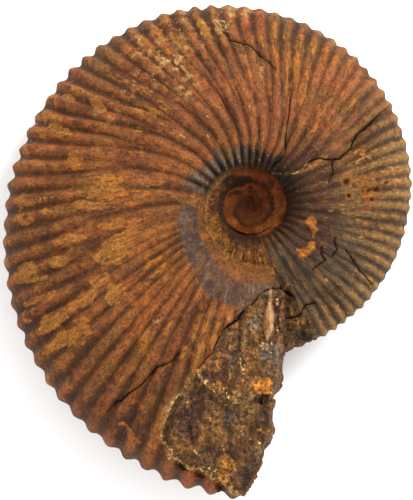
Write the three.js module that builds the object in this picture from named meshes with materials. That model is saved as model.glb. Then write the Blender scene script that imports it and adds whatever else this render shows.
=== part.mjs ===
// Ammonite fossil: an ironstone cast of an involute, ribbed shell, lying on one flank.
// The shell coils in one plane. It is built in the frame of the coil (coil axis along +Z, the plane of
// symmetry at z = 0), then leaned onto the three places where a real one touches the table.
// Angles are in degrees, counter-clockwise seen from +Z, and grow towards the mouth. Lengths are in mm.
import * as THREE from "three";

// ---- driving dimensions ----
// Each growth curve holds values at even steps of the coil angle. Before its first angle the shell shrinks
// by WHORL_RATIO for each turn, as every ammonite's early whorls do.
const WHORL_RATIO = 2.1;
const VENTER_RADIUS = {
  first: -90,
  step: 45,
  values: [36.6, 36.8, 39.6, 44.7, 50.5, 55.8, 61.1, 67.1, 72.4, 76, 79],
};
const SEAM_RADIUS = { first: -90, step: 90, values: [7.6, 9.0, 9.5, 11.1, 15.5, 23] };
const CREST_RADIUS = { first: -90, step: 90, values: [13.2, 15.5, 16.5, 19.7, 25, 32] };
const HALF_WIDTH = { first: -90, step: 90, values: [11.9, 14.0, 16.5, 19.5, 22.5, 25.5] };
const FLANK_POWER = 2.3; // roundness of the flank and venter: 2 is an ellipse
const SEAM_SINK = 0.99; // height of the seam, as a share of the half width one whorl earlier
const WALL_TURN = 75 * (Math.PI / 180); // how steep the umbilical wall has become at the seam

// Ribs. Each starts as a primary at the umbilical shoulder, leans forward, and forks in two on mid-flank.
const RIB_PITCH = 4.59; // between neighbouring ribs on the venter
const RIB_HEIGHT = { first: -90, step: 90, values: [0.5, 0.55, 0.7, 1.25, 1.1, 0.9] };
const PRIMARY_SHARE = 0.7; // height of a primary over that of a rib on the venter
const FORK_FROM = 0.3; // on the flank, 0 at the crest of the shoulder and 1 on the venter
const FORK_TO = 0.6;
const LEAN = { least: 2, most: 13.5, centre: 122, before: 85, after: 62 };

// The broken mouth: its angle at the umbilical shoulder, and how far it runs back towards the venter.
const BREAK_AT_SHOULDER = 286.5;
const BREAK_FROM_RADIUS = 21;
const BREAK_RUN_BACK = 17.5;
const BREAK_POWER = 1.3;
const BREAK_BATTER = 1.5; // degrees that the broken face leans out, down to the whorl inside it
const BREAK_ROUGHNESS = 0.6; // mm

// Rest: the two leans that set the shell down on its flank, and the wear of the rib crests it lies on.
const LEAN_ABOUT_X = -6.0;
const LEAN_ABOUT_Y = -0.5;
const REST_WEAR = 1.1;

// ---- facets ----
const FIRST_RIB = -15; // the first and last rib that rows follow, in rib pitches from angle 0
const LAST_RIB = 54;
const FAN_ROWS = 8; // rows that turn from the ribs' direction to that of the broken edge
const FACE_ROWS = 3; // rows on the broken face
const WALL_SIDES = [-1, -0.6, -0.25]; // places on the outline, as whorlPoint takes them
const FLANK_SIDES = [0, 0.2, 0.4, 0.58, 0.74, 0.87, 0.96];
// Loops inside the umbilicus: share of the seam's radius, and how many rows there are to each point.
const INNER_RINGS = [
  { share: 0.84, every: 1 },
  { share: 0.66, every: 2 },
  { share: 0.48, every: 4 },
  { share: 0.4, every: 4 },
  { share: 0.24, every: 8 },
  { share: 0.1, every: 16 },
];

// ---- growth of the shell ----
const radians = (degrees) => (degrees * Math.PI) / 180;
const mix = (a, b, t) => a + (b - a) * t;
const clamp01 = (t) => Math.min(1, Math.max(0, t));
const smoothStep = (from, to, x) => {
  const t = clamp01((x - from) / (to - from));
  return t * t * (3 - 2 * t);
};

// A growth curve's value at an angle: a Catmull-Rom curve through its values.
function grown(curve, angle) {
  if (angle < curve.first)
    return curve.values[0] * WHORL_RATIO ** ((angle - curve.first) / 360);
  const last = curve.values.length - 1;
  const at = Math.min((angle - curve.first) / curve.step, last - 1e-6);
  const i = Math.floor(at);
  const t = at - i;
  const value = (k) => curve.values[Math.min(last, Math.max(0, k))];
  const [a, b, c, d] = [value(i - 1), value(i), value(i + 1), value(i + 2)];
  return b + 0.5 * t * (c - a + t * (2 * a - 5 * b + 4 * c - d + t * (3 * (b - c) + d - a)));
}

// How far a rib has fallen behind its angle on the venter, at a place across the flank.
function ribLag(venterAngle, across) {
  const width = venterAngle < LEAN.centre ? LEAN.before : LEAN.after;
  const lean = LEAN.least + LEAN.most * Math.exp(-(((venterAngle - LEAN.centre) / width) ** 2));
  return lean * (1 - Math.sin((Math.PI / 2) * clamp01(across) ** 1.08));
}

// Height of the ribs over the smooth shell: primaries by the umbilicus, twice as many on the venter.
function ribRelief(venterAngle, across) {
  const phase = (2 * Math.PI * venterAngle) / RIB_PITCH;
  const secondary = (0.5 + 0.5 * Math.cos(phase)) ** 1.3;
  const primary = (0.5 - 0.5 * Math.cos(phase / 2 + Math.PI / 2)) ** 0.7;
  const fork = smoothStep(FORK_FROM, FORK_TO, across);
  const wave = mix(PRIMARY_SHARE * (primary - 0.5), secondary - 0.5, fork);
  return wave * grown(RIB_HEIGHT, venterAngle) * smoothStep(-0.25, 0.1, across);
}

// A point of a whorl's outline: its distance from the coil axis, and its height over the plane of symmetry.
// side is the place on it: -1 at the umbilical seam, 0 on the crest of the shoulder, 1 on the venter.
function whorlPoint(angle, side) {
  const crest = grown(CREST_RADIUS, angle);
  const half = grown(HALF_WIDTH, angle);
  if (side < 0) {
    const turn = -side * WALL_TURN;
    const seamHeight = SEAM_SINK * grown(HALF_WIDTH, angle - 360);
    const reach = crest - grown(SEAM_RADIUS, angle);
    return {
      radius: crest - (reach * Math.sin(turn)) / Math.sin(WALL_TURN),
      height: half - ((half - seamHeight) * (1 - Math.cos(turn))) / (1 - Math.cos(WALL_TURN)),
    };
  }
  const turn = (side * Math.PI) / 2;
  const power = 2 / FLANK_POWER;
  return {
    radius: crest + (grown(VENTER_RADIUS, angle) - crest) * Math.sin(turn) ** power,
    height: half * Math.max(0, Math.cos(turn)) ** power,
  };
}

// The same point with its rib, moved out along the outline's normal.
function ribbedPoint(angle, side, venterAngle) {
  const point = whorlPoint(angle, side);
  const before = whorlPoint(angle, Math.max(-1, side - 0.01));
  const after = whorlPoint(angle, Math.min(1, side + 0.01));
  const along = Math.hypot(after.radius - before.radius, after.height - before.height) || 1;
  const across = Math.sin((Math.PI / 2) * clamp01(side)) ** (2 / FLANK_POWER) + Math.min(0, side);
  const relief = ribRelief(venterAngle, across);
  return {
    radius: point.radius + (relief * (before.height - after.height)) / along,
    height: point.height + (relief * (after.radius - before.radius)) / along,
  };
}

// Height of the surface inside the umbilicus: the early whorls, each in the lap of the next.
function innerHeight(radius, angle) {
  let theta = angle;
  while (radius < grown(SEAM_RADIUS, theta) && grown(SEAM_RADIUS, theta) > 0.8) theta -= 360;
  const crest = grown(CREST_RADIUS, theta);
  const half = grown(HALF_WIDTH, theta);
  if (radius >= crest) {
    const out = (radius - crest) / (grown(VENTER_RADIUS, theta) - crest);
    return half * (1 - out ** FLANK_POWER) ** (1 / FLANK_POWER);
  }
  const seamHeight = SEAM_SINK * grown(HALF_WIDTH, theta - 360);
  const sine = (Math.sin(WALL_TURN) * (crest - radius)) / (crest - grown(SEAM_RADIUS, theta));
  const drop = (1 - Math.sqrt(Math.max(0, 1 - sine * sine))) / (1 - Math.cos(WALL_TURN));
  return half - (half - seamHeight) * Math.min(1, drop);
}

// Height of the whorl that the mouth laps over, at a distance from the coil axis.
function lappedHeight(radius) {
  return radius < grown(VENTER_RADIUS, START) ? innerHeight(radius, START) : 0;
}

// The angle of the broken mouth at a distance from the coil axis.
function breakAngle(radius) {
  const span = grown(VENTER_RADIUS, BREAK_AT_SHOULDER - BREAK_RUN_BACK) - BREAK_FROM_RADIUS;
  return BREAK_AT_SHOULDER - BREAK_RUN_BACK * clamp01((radius - BREAK_FROM_RADIUS) / span) ** BREAK_POWER;
}

// ---- rows: each runs from the seam over the flank to the venter ----
// A row gives, for a place on the outline, the coil angle, the venter angle of its rib, and how far the
// broken face has gone from the last whorl (0) to the first (1).
function ribRow(venterAngle) {
  return (side) => {
    const across = Math.sin((Math.PI / 2) * clamp01(side)) ** (2 / FLANK_POWER);
    return { angle: venterAngle - ribLag(venterAngle, across), venterAngle, face: 0 };
  };
}

function blendRow(rowA, rowB, share) {
  return (side) => {
    const a = rowA(side);
    const b = rowB(side);
    return {
      angle: mix(a.angle, b.angle, share),
      venterAngle: mix(a.venterAngle, b.venterAngle, share),
      face: mix(a.face, b.face, share),
    };
  };
}

const mouthRow = (side) => {
  const angle = breakAngle(whorlPoint(BREAK_AT_SHOULDER - BREAK_RUN_BACK / 2, side).radius);
  return { angle, venterAngle: angle, face: 0 };
};
const START = BREAK_AT_SHOULDER + BREAK_BATTER - 360;
const startRow = () => ({ angle: START, venterAngle: START, face: 0 });

function makeRows() {
  const rows = [];
  const firstRib = ribRow(FIRST_RIB * RIB_PITCH);
  const lastRib = ribRow(LAST_RIB * RIB_PITCH);
  for (let i = 0; i < FAN_ROWS; i++) rows.push(blendRow(startRow, firstRib, i / FAN_ROWS));
  for (let i = 2 * FIRST_RIB; i <= 2 * LAST_RIB; i++) rows.push(ribRow((i * RIB_PITCH) / 2));
  for (let i = 1; i <= FAN_ROWS; i++) rows.push(blendRow(lastRib, mouthRow, i / FAN_ROWS));
  for (let i = 1; i <= FACE_ROWS; i++)
    rows.push((side) => ({ ...mouthRow(side), face: i / (FACE_ROWS + 1) }));
  return rows;
}

// A repeatable rough number from -1 to 1 for a row and a place on it.
function rough(i, j) {
  const x = Math.sin(i * 12.9898 + j * 78.233) * 43758.5453;
  return 2 * (x - Math.floor(x)) - 1;
}

// ---- the solid ----
const lean = new THREE.Matrix4()
  .makeRotationX(radians(LEAN_ABOUT_X))
  .multiply(new THREE.Matrix4().makeRotationY(radians(LEAN_ABOUT_Y)));

function placed(radius, height, angle) {
  const x = radius * Math.cos(radians(angle));
  const y = radius * Math.sin(radians(angle));
  return new THREE.Vector3(x, y, height).applyMatrix4(lean);
}

// One closed loop of points round the coil axis, at one place on the outline, on the upper or lower side.
function outlineRing(rows, side, up) {
  return rows.map((row, i) => {
    const at = row(side);
    const here = ribbedPoint(at.angle, side, at.venterAngle);
    if (at.face === 0) return placed(here.radius, up * here.height, at.angle);
    // On the broken face: from the mouth of the last whorl down to the whorl that it laps over.
    const there = ribbedPoint(START, side, START);
    const radius = mix(here.radius, there.radius, at.face);
    const swing = (BREAK_ROUGHNESS * rough(i, side * 7 + up)) / radius;
    const angle = breakAngle(radius) + at.face * BREAK_BATTER + swing / radians(1);
    const height = Math.max(mix(here.height, there.height, at.face), lappedHeight(radius));
    return placed(radius, up * height, angle);
  });
}

// A loop inside the umbilicus, at a share of the seam's radius, with a point for each so many rows.
function innerRing(rows, share, every, up) {
  return rows
    .filter((row, i) => i % every === 0)
    .map((row) => {
      const at = row(-1);
      const angle = mix(at.angle, START + 360, at.face);
      const seam = mix(grown(SEAM_RADIUS, at.angle), grown(SEAM_RADIUS, START), at.face);
      return placed(share * seam, up * innerHeight(share * seam, angle), angle);
    });
}

// Joins two loops that have different numbers of points, each evenly spread over the same turn.
function stitch(index, a, b) {
  let i = 0;
  let j = 0;
  while (i < a.length || j < b.length) {
    const [a0, b0] = [a[i % a.length], b[j % b.length]];
    if ((i + 1) * b.length <= (j + 1) * a.length && i < a.length) {
      index.push(a0, b0, a[(i + 1) % a.length]);
      i++;
    } else {
      index.push(a0, b0, b[(j + 1) % b.length]);
      j++;
    }
  }
}

function fossilGeometry() {
  const rows = makeRows();
  const sides = [...WALL_SIDES, ...FLANK_SIDES];
  const innerRings = (up) => INNER_RINGS.map((ring) => innerRing(rows, ring.share, ring.every, up));
  const rings = [
    ...innerRings(1).reverse(),
    ...sides.map((side) => outlineRing(rows, side, 1)),
    outlineRing(rows, 1, 1),
    ...sides.map((side) => outlineRing(rows, side, -1)).reverse(),
    ...innerRings(-1),
  ];
  const points = [placed(0, 0.4, 0), ...rings.flat(), placed(0, -0.4, 0)];

  // Set it down: the lowest crests are worn flat where it lies, and the origin is under the middle.
  const box = new THREE.Box3().setFromPoints(points);
  const floor = box.min.z + REST_WEAR;
  const middle = box.getCenter(new THREE.Vector3());
  for (const p of points) p.set(p.x - middle.x, p.y - middle.y, Math.max(0, p.z - floor));

  // Vertex 0 is the upper end of the coil axis and the last vertex its lower end.
  const index = [];
  let next = 1;
  const loops = rings.map((ring) => ring.map(() => next++));
  const inmost = loops[0];
  const inmostBelow = loops[loops.length - 1];
  inmost.forEach((v, i) => index.push(0, v, inmost[(i + 1) % inmost.length]));
  for (let k = 0; k + 1 < loops.length; k++) stitch(index, loops[k], loops[k + 1]);
  inmostBelow.forEach((v, i) => index.push(next, inmostBelow[(i + 1) % inmostBelow.length], v));

  const geometry = new THREE.BufferGeometry().setFromPoints(points);
  geometry.setIndex(index);
  geometry.computeVertexNormals();
  return geometry;
}

const ironstone = new THREE.MeshStandardMaterial({ color: 0x8a4f26, roughness: 0.72, metalness: 0 });
const fossil = new THREE.Mesh(fossilGeometry(), ironstone);
fossil.name = "ammonite_fossil";

const part = new THREE.Group();
part.add(fossil);
export default part;
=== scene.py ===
"""The looks of an ammonite fossil turned to rusty ironstone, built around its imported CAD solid.

The shell is described as a field: about how far a place is from the shell's smooth surface, and negative
inside. The field is meshed evenly, and ribs, crust, cracks and the broken mouth are carved into that mesh.
The sculpting is done in the frame of the coil, in millimetres: the coil's axis is +Z, its plane of
symmetry is z = 0, and angles are in degrees, counter-clockwise from above, growing towards the mouth.

What looks random is noise with fixed seeds: the last number given to noise, rough, spots and streaks.
"""

import itertools

import bpy
import numpy as np
import openvdb
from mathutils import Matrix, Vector


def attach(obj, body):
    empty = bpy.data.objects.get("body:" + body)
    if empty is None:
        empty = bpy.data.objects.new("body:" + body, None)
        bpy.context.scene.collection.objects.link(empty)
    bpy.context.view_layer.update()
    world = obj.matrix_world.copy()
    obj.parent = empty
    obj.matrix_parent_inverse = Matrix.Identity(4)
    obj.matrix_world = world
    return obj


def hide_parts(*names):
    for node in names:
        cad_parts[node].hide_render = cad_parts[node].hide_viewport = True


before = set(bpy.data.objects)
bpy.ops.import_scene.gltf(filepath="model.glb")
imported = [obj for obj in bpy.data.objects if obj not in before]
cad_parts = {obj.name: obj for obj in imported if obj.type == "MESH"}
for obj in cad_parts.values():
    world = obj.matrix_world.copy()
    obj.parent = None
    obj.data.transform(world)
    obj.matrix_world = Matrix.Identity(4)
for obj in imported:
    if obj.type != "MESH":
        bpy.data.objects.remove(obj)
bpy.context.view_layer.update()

MM = 0.001

# ---- the shell's growth, as the CAD solid has it: (first angle, step, values in mm) ----
WHORL_RATIO = 2.1
VENTER_RADIUS = (-90, 45, (36.6, 36.8, 39.6, 44.7, 50.5, 55.8, 61.1, 67.1, 72.4, 76, 79))
SEAM_RADIUS = (-90, 90, (7.6, 9.0, 9.5, 11.1, 15.5, 23))
CREST_RADIUS = (-90, 90, (13.2, 15.5, 16.5, 19.7, 25, 32))
HALF_WIDTH = (-90, 90, (11.9, 14.0, 16.5, 19.5, 22.5, 25.5))
FLANK_POWER = 2.3
SEAM_SINK = 0.99
WALL_TURN = np.radians(75)  # how far the umbilical wall turns from the flank down to the seam
FIRST_CHAMBER = 1.6
TURNS = (1, 0, -1, -2, -3)  # whorls that a direction from the axis can meet, from the last one in

RIB_PITCH = 4.59  # degrees from one rib to the next at the venter
# Degrees that ribs lean forward on their way to the venter: everywhere, and more round one angle.
LEAN_EVERYWHERE = 2
LEAN_MORE = 13.5
LEAN_CENTRE = 122
LEAN_BEFORE = 85
LEAN_AFTER = 62

# The broken face starts at this angle and radius by the umbilicus, and runs back towards the venter.
BREAK_AT_SHOULDER = 286.5
BREAK_FROM_RADIUS = 21
BREAK_RUN_BACK = 17.5
BREAK_POWER = 1.3

# How far the broken edge is bitten back: (radius, mm).
BITES = (
    (21, 0), (34, 0.2), (37.2, 0), (39.4, 1.4), (43.9, 0.8), (46.8, 2.7), (49.4, 1.6), (52.5, 1.9),
    (56.3, 0.5), (59.4, 1.0), (63.9, 0.4), (71, 0.5), (76, 0.2),
)
JAGS = 0.55  # mm of roughness on the broken face

# Hard mud fills the grooves between the earliest whorls.
FILL_AT_AXIS = 1.1
FILL_SLOPE = 0.82
FILL_LEAN = 0.79  # turns a height over the sloping mud into a distance
FILL_RADIUS = 7.0

# Where the CAD solid has the middle of the coil, and how it leans to lie on its flank.
COIL_CENTRE = (10.956, 10.515, 19.374)
LEAN_ABOUT_X = np.radians(-6.0)
LEAN_ABOUT_Y = np.radians(-0.5)

# The box that is meshed, and the mesh size.
FIELD_LOW = np.array((-66.0, -78.0, -28.0))
FIELD_HIGH = np.array((46.0, 56.0, 28.0))
VOXEL = 0.36


# ---- small tools ----
# Odd factors that scramble whole numbers for the noise.
HASH_FACTORS = (np.uint32(374761393), np.uint32(668265263), np.uint32(1440662683))
SEED_FACTOR = 2654435761


def rise(low, high, x):
    """0 below low, 1 above high, and a smooth rise between. A fall if low is above high."""
    t = np.clip((x - low) / (high - low), 0, 1)
    return t * t * (3 - 2 * t)


def bell(x, width):
    """1 at 0, fading on both sides to about a third at the width."""
    return np.exp(-((x / width) ** 2))


def mix(a, b, share):
    """a where the share is 0, b where it is 1."""
    return a + (b - a) * share


def grown(curve, angle):
    """A growth curve's value at an angle: a Catmull-Rom curve, and shrinking whorls before it."""
    first, step, values = curve
    values = np.asarray(values, float)
    last = len(values) - 1
    at = np.clip((angle - first) / step, 0, last - 1e-6)
    i = at.astype(int)
    t = at - i
    a, b, c, d = (values[np.clip(i + k, 0, last)] for k in (-1, 0, 1, 2))
    later = b + 0.5 * t * (c - a + t * (2 * a - 5 * b + 4 * c - d + t * (3 * (b - c) + d - a)))
    return np.where(angle < first, values[0] * WHORL_RATIO ** ((angle - first) / 360), later)


def noise(places, seed=0):
    """Smooth noise from -1 to 1 with bumps one unit apart, at an array of places (n, 3)."""
    cell = np.floor(places)
    t = places - cell
    t = t * t * (3 - 2 * t)
    weights = (1 - t, t)
    low = cell.astype(np.int64).astype(np.uint32)
    turned = [
        (low[:, axis] * factor, (low[:, axis] + np.uint32(1)) * factor)
        for axis, factor in enumerate(HASH_FACTORS)
    ]
    total = np.zeros(len(places))
    for i, j, k in itertools.product((0, 1), repeat=3):
        h = turned[0][i] ^ turned[1][j] ^ turned[2][k] ^ np.uint32(seed * SEED_FACTOR & 0xFFFFFFFF)
        h = (h ^ (h >> np.uint32(15))) * np.uint32(2246822519)
        h = (h ^ (h >> np.uint32(13))) * np.uint32(3266489917)
        h = (h ^ (h >> np.uint32(16))) & np.uint32(0xFFFF)
        total += weights[i][:, 0] * weights[j][:, 1] * weights[k][:, 2] * h
    return total * (2 / 0xFFFF) - 1


def rough(places, size, octaves=3, seed=0):
    """Noise with finer and finer bumps added, the largest of a size in mm. About -1 to 1."""
    total, share = np.zeros(len(places)), 1.0
    for octave in range(octaves):
        total += share * noise(places * (2**octave / size), seed + 17 * octave)
        share *= 0.5
    return total / 1.5


# ---- places and paths ----
def turn_to_rest(places):
    """From the frame of the coil to the object's own, in mm."""
    cx, sx = np.cos(LEAN_ABOUT_X), np.sin(LEAN_ABOUT_X)
    cy, sy = np.cos(LEAN_ABOUT_Y), np.sin(LEAN_ABOUT_Y)
    about_x = np.array(((1, 0, 0), (0, cx, -sx), (0, sx, cx)))
    about_y = np.array(((cy, 0, sy), (0, 1, 0), (-sy, 0, cy)))
    return places @ (about_x @ about_y).T + COIL_CENTRE


def seen_from_above(places):
    """Where places in the coil's frame are seen in plan, in mm from the coil's axis."""
    return turn_to_rest(places)[:, :2] - COIL_CENTRE[:2]


def near_angle(seen, angle):
    """The direction in which a place is seen, on the turn that an angle is on."""
    around = np.degrees(np.arctan2(seen[:, 1], seen[:, 0]))
    return angle + (around - angle + 180) % 360 - 180


def plan(points):
    """(angle, radius) points as places in the plane of the coil."""
    angle, radius = np.array(points).T
    angle = np.radians(angle)
    return np.stack((radius * np.cos(angle), radius * np.sin(angle)), axis=1)


def beside_path(at, path):
    """For each place (n, 2): how far it is to the left of a path, and how far along it, from 0 to 1.

    The first is negative on the right. The third result is the direction to the left there.
    """
    corners = plan(path)
    lengths = np.linalg.norm(np.diff(corners, axis=0), axis=1)
    starts = np.concatenate(((0,), np.cumsum(lengths)))
    nearest = np.full(len(at), np.inf)
    side, along, left = np.zeros(len(at)), np.zeros(len(at)), np.zeros((len(at), 2))
    for a, b, length, start in zip(corners[:-1], corners[1:], lengths, starts):
        ahead = (b - a) / length
        to_left = np.array((-ahead[1], ahead[0]))
        travelled = np.clip((at - a) @ ahead, 0, length)
        distance = np.linalg.norm(at - a - travelled[:, None] * ahead, axis=1)
        nearer = distance < nearest
        nearest = np.where(nearer, distance, nearest)
        side = np.where(nearer, np.where((at - a) @ to_left < 0, -distance, distance), side)
        along = np.where(nearer, (start + travelled) / starts[-1], along)
        left = np.where(nearer[:, None], to_left, left)
    return side, along, left


def radius_on(path, angle):
    """The radius of a path of (angle, radius) points where it crosses an angle."""
    return np.interp(angle, [p[0] for p in path], [p[1] for p in path])


def angle_on(path, radius):
    """The angle of a path of (angle, radius) points where it crosses a radius."""
    return np.interp(radius, [p[1] for p in path], [p[0] for p in path])


# ---- the bare patch ----
# Marks on the upper side are placed as they are seen from straight above: by x and y in mm from the coil's
# axis, or by (angle, radius in mm).

# The edge of the patch near the mouth where the shell has come off.
BARE_EDGE = (
    (287, 19), (286, 20), (278, 21), (272, 24), (265, 26), (258, 30), (255, 37.5), (251.5, 42),
    (249.8, 46.5), (247.6, 53), (248, 58), (249, 62), (252, 64.5), (256, 66), (262, 67.5), (267, 70.5),
    (270, 75),
)
# Inside that patch, a step down towards the venter.
BARE_STEP = ((251, 42), (254, 44.5), (259.6, 46.7), (266, 47.2), (272, 46.0), (280, 46.5))
STEP_LIP_END = 268  # the angle up to which it has a lip


def inside_bare(seen, seen_angle):
    """How far a place is inside the bare patch, and how far it is below the step in it."""
    radius = np.linalg.norm(seen, axis=1)
    ragged = 0.45 * rough(np.column_stack((seen, np.zeros(len(seen)))), 3.5, 3, 5)
    edge, _, _ = beside_path(seen, BARE_EDGE)
    inside = np.where(seen_angle > angle_on(BARE_EDGE, radius), 1, -1)
    step, _, _ = beside_path(seen, BARE_STEP)
    return np.abs(edge) * inside + ragged, ragged - step


def lost_shell(x, y, half, angle):
    """How deep the shell has come off the upper side near the mouth, over places in the coil's plane."""
    seen = seen_from_above(np.stack((x, y, half), axis=-1).reshape(-1, 3))
    radius = np.linalg.norm(seen, axis=1)
    seen_angle = near_angle(seen, angle.ravel())
    depth, below = inside_bare(seen, seen_angle)
    bare = rise(-0.1, 0.35, depth)
    lip = 0.7 * bell(below, 0.7) * (seen_angle < STEP_LIP_END)
    basin = rise(0, 1.0, below) - lip
    lost = 0.55 * bare + 0.5 * rise(0, 3, depth)
    lost += bare * basin * rise(40, 42, radius)
    lost *= rise(18, 20, radius) * (angle.ravel() > 200)
    return lost.reshape(np.shape(x))


# ---- the smooth shell ----
def growth_at(x, y):
    """The whorls over places in the plane of symmetry, from the last one in.

    In each, wall_lean turns a height over the umbilical wall into a distance, and past_break is how far
    a place is beyond the broken face.
    """
    radius = np.hypot(x, y)
    around = np.degrees(np.arctan2(y, x))
    whorls = []
    for turn in TURNS:
        angle = around + 360 * turn
        crest, seam = grown(CREST_RADIUS, angle), grown(SEAM_RADIUS, angle)
        half = grown(HALF_WIDTH, angle)
        drop = (half - SEAM_SINK * grown(HALF_WIDTH, angle - 360)) / (1 - np.cos(WALL_TURN))
        inward = (crest - radius) / (crest - seam)
        sine = np.sin(WALL_TURN) * np.clip(inward, 0, 1)
        cosine = np.sqrt(1 - sine**2)
        slope = drop * np.sin(WALL_TURN) / (crest - seam) * sine / cosine
        wall = half - drop * (1 - cosine) - slope * np.maximum(seam - radius, 0)
        whorl = {"angle": angle, "radius": radius, "crest": crest, "seam": seam, "half": half}
        whorl["wall"] = wall
        whorl["venter"] = grown(VENTER_RADIUS, angle)
        whorl["wall_lean"] = 1 / np.sqrt(1 + slope**2)
        whorl["past_break"] = np.radians(angle - break_angle(radius)) * radius
        whorl["worn"] = lost_shell(x, y, half, angle) if turn == TURNS[0] else np.zeros(np.shape(x))
        whorls.append(whorl)
    return whorls


def break_angle(radius):
    """The angle of the broken face at a radius, before it is bitten and roughened."""
    span = grown(VENTER_RADIUS, np.float64(BREAK_AT_SHOULDER - BREAK_RUN_BACK)) - BREAK_FROM_RADIUS
    out = np.clip((radius - BREAK_FROM_RADIUS) / span, 0, 1.15)
    return BREAK_AT_SHOULDER - BREAK_RUN_BACK * out**BREAK_POWER


def whorl_distance(whorl, z):
    """About how far a place is outside one whorl."""
    height = np.abs(z)
    out = whorl["radius"] - whorl["crest"]
    u = np.maximum(out, 0) / (whorl["venter"] - whorl["crest"])
    reach = (u**FLANK_POWER + (height / whorl["half"]) ** FLANK_POWER) ** (1 / FLANK_POWER)
    flank = np.hypot(out, height) * (1 - 1 / np.maximum(reach, 1e-3))
    wall = (height - whorl["wall"]) * whorl["wall_lean"]
    return np.where(out > 0, flank, wall) + whorl["worn"] * rise(0, 6, z)


def jags(radius, z):
    """How far the broken face stands back from a smooth one."""
    at = np.stack(np.broadcast_arrays(radius, z, 0.0), axis=-1).reshape(-1, 3)
    depth = JAGS * (rough(at / (1, 2, 1), 5, 3, 91) + 0.7 * rough(at, 1.7, 2, 92))
    depth *= 1 + 1.2 * rise(36, 30, at[:, 0])
    bite = np.interp(radius, *np.transpose(BITES))
    return bite + depth.reshape(np.shape(radius))


def shell_distance(whorls, z):
    """About how far a place is outside the shell, the nearest whorl, and whether its break is nearer."""
    radius = whorls[0]["radius"]
    height = np.abs(z)
    above_fill = (height - FILL_AT_AXIS - FILL_SLOPE * radius) * FILL_LEAN
    fill = np.maximum(above_fill, radius - FILL_RADIUS)
    nearest = np.minimum(np.hypot(radius, z) - FIRST_CHAMBER, fill)
    which = np.full(nearest.shape, len(TURNS) - 1)
    on_break = np.zeros(nearest.shape, bool)
    bitten = jags(radius, z)
    for k, whorl in enumerate(whorls):
        away = whorl_distance(whorl, z)
        past = whorl["past_break"] + bitten
        here = np.maximum(away, past)
        nearer = here < nearest
        nearest = np.where(nearer, here, nearest)
        which = np.where(nearer, k, which)
        on_break = np.where(nearer, past > away, on_break)
    return nearest, which, on_break


def smooth_shell():
    """Evenly spaced points on the smooth shell, and the quads between them, facing out."""
    counts = np.ceil((FIELD_HIGH - FIELD_LOW) / VOXEL).astype(int)
    xs, ys, zs = (FIELD_LOW[k] + VOXEL * np.arange(counts[k]) for k in range(3))
    x, y = np.meshgrid(xs, ys, indexing="ij")
    whorls = growth_at(x, y)
    values = np.empty(counts, np.float32)
    for k, z in enumerate(zs):
        values[:, :, k] = shell_distance(whorls, z)[0]
    far = 4 * VOXEL  # beyond this only the sign matters
    grid = openvdb.FloatGrid(far)
    grid.copyFromArray(np.clip(values, -far, far))
    places, quads = grid.convertToQuads(0)
    places = FIELD_LOW + VOXEL * places.astype(float)
    quads = quads.astype(np.int64)
    a, b, c = (places[quads[:, k]] for k in range(3))
    if np.sum(a * np.cross(b, c)) < 0:
        quads = quads[:, ::-1]
    return places, quads


def outward(places, quads):
    """The surface's direction at each point."""
    a, b, c, d = (places[quads[:, k]] for k in range(4))
    facing = np.cross(c - a, d - b)
    total = np.empty_like(places)
    for axis in range(3):
        shares = np.repeat(facing[:, axis], 4)
        total[:, axis] = np.bincount(quads.ravel(), weights=shares, minlength=len(places))
    return total / np.maximum(np.linalg.norm(total, axis=1, keepdims=True), 1e-9)


# ---- what each point of the shell is ----
# The smooth band by the umbilicus, where the outer shell is gone: its inner and outer edges.
BAND_INNER = ((172, 12.6), (200, 13.4), (218, 14.7), (237, 16.3), (254, 17.2), (268, 18.4))
BAND_OUTER = ((172, 16.9), (191, 18.4), (212, 19.3), (226, 20.7), (242, 23.3), (258, 24.7), (268, 26))
# Cracks: half the width in mm, then (angle, radius) points.
CRACKS = (
    (0.22, (
        (36.8, 43.4), (36, 38.6), (35.1, 34.8), (35.2, 32.4), (31.2, 29), (29.4, 25.8), (31.6, 23.3),
        (36, 21.3), (39.5, 18.4),
    )),
    (0.12, ((31.5, 24.5), (28, 22.8), (24, 22.2), (18, 20.2))),
    (0.13, ((101, 47.5), (97, 42.5), (91, 41.2), (84, 37.5), (80, 35))),
    (0.13, ((72, 33), (69.2, 27.3), (66, 22), (59.6, 16.8), (59, 13.5), (64, 11))),
    (0.19, ((234.5, 62), (236, 57), (238.5, 50), (239, 46), (242.5, 42.5), (243, 39.5))),
    (0.24, (
        (251.5, 42), (253, 39), (255, 37.2), (256, 33), (259, 29.5), (264, 27.2), (268.5, 24.5),
        (277, 21.2),
    )),
    (0.22, ((277, 21.2), (284, 20.4), (290, 21), (296, 24.5))),
    (0.2, ((-74, 28.8), (-71, 29.3), (-66, 29.6), (-60, 27.8), (-56, 28.2))),
    (0.14, ((-23, 25), (-27, 28.5), (-30, 31.5), (-32, 36))),
    (0.13, ((-25, 19.8), (-33, 20.5), (-35, 22.5), (-45, 21.5))),
    (0.13, ((-33, 23.5), (-25, 23.5), (-19, 22))),
)
# The groove of the earliest whorls, where mud hasn't hidden it.
SPIRAL = ((48, 6.3), (0, 5.1), (-54, 4.2), (-108, 4.2), (-164, 4.0), (-221, 2.8), (-293, 2.0))
# Thin lines of pale filling.
VEINS = (
    ((166, 29), (168, 25), (170, 20), (174, 17), (178, 12.5)),
    ((39.5, 18.4), (37, 15.3), (43, 12.2), (61, 10.2)),
    ((31.4, 22), (36, 16), (47, 12)),
)
CRACK_REACH = 1.1  # mm from a crack within which its sides are told apart
INNER_WHORLS_END = (-76, -70)  # where the inner whorls' paint gives way to the last one's


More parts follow.
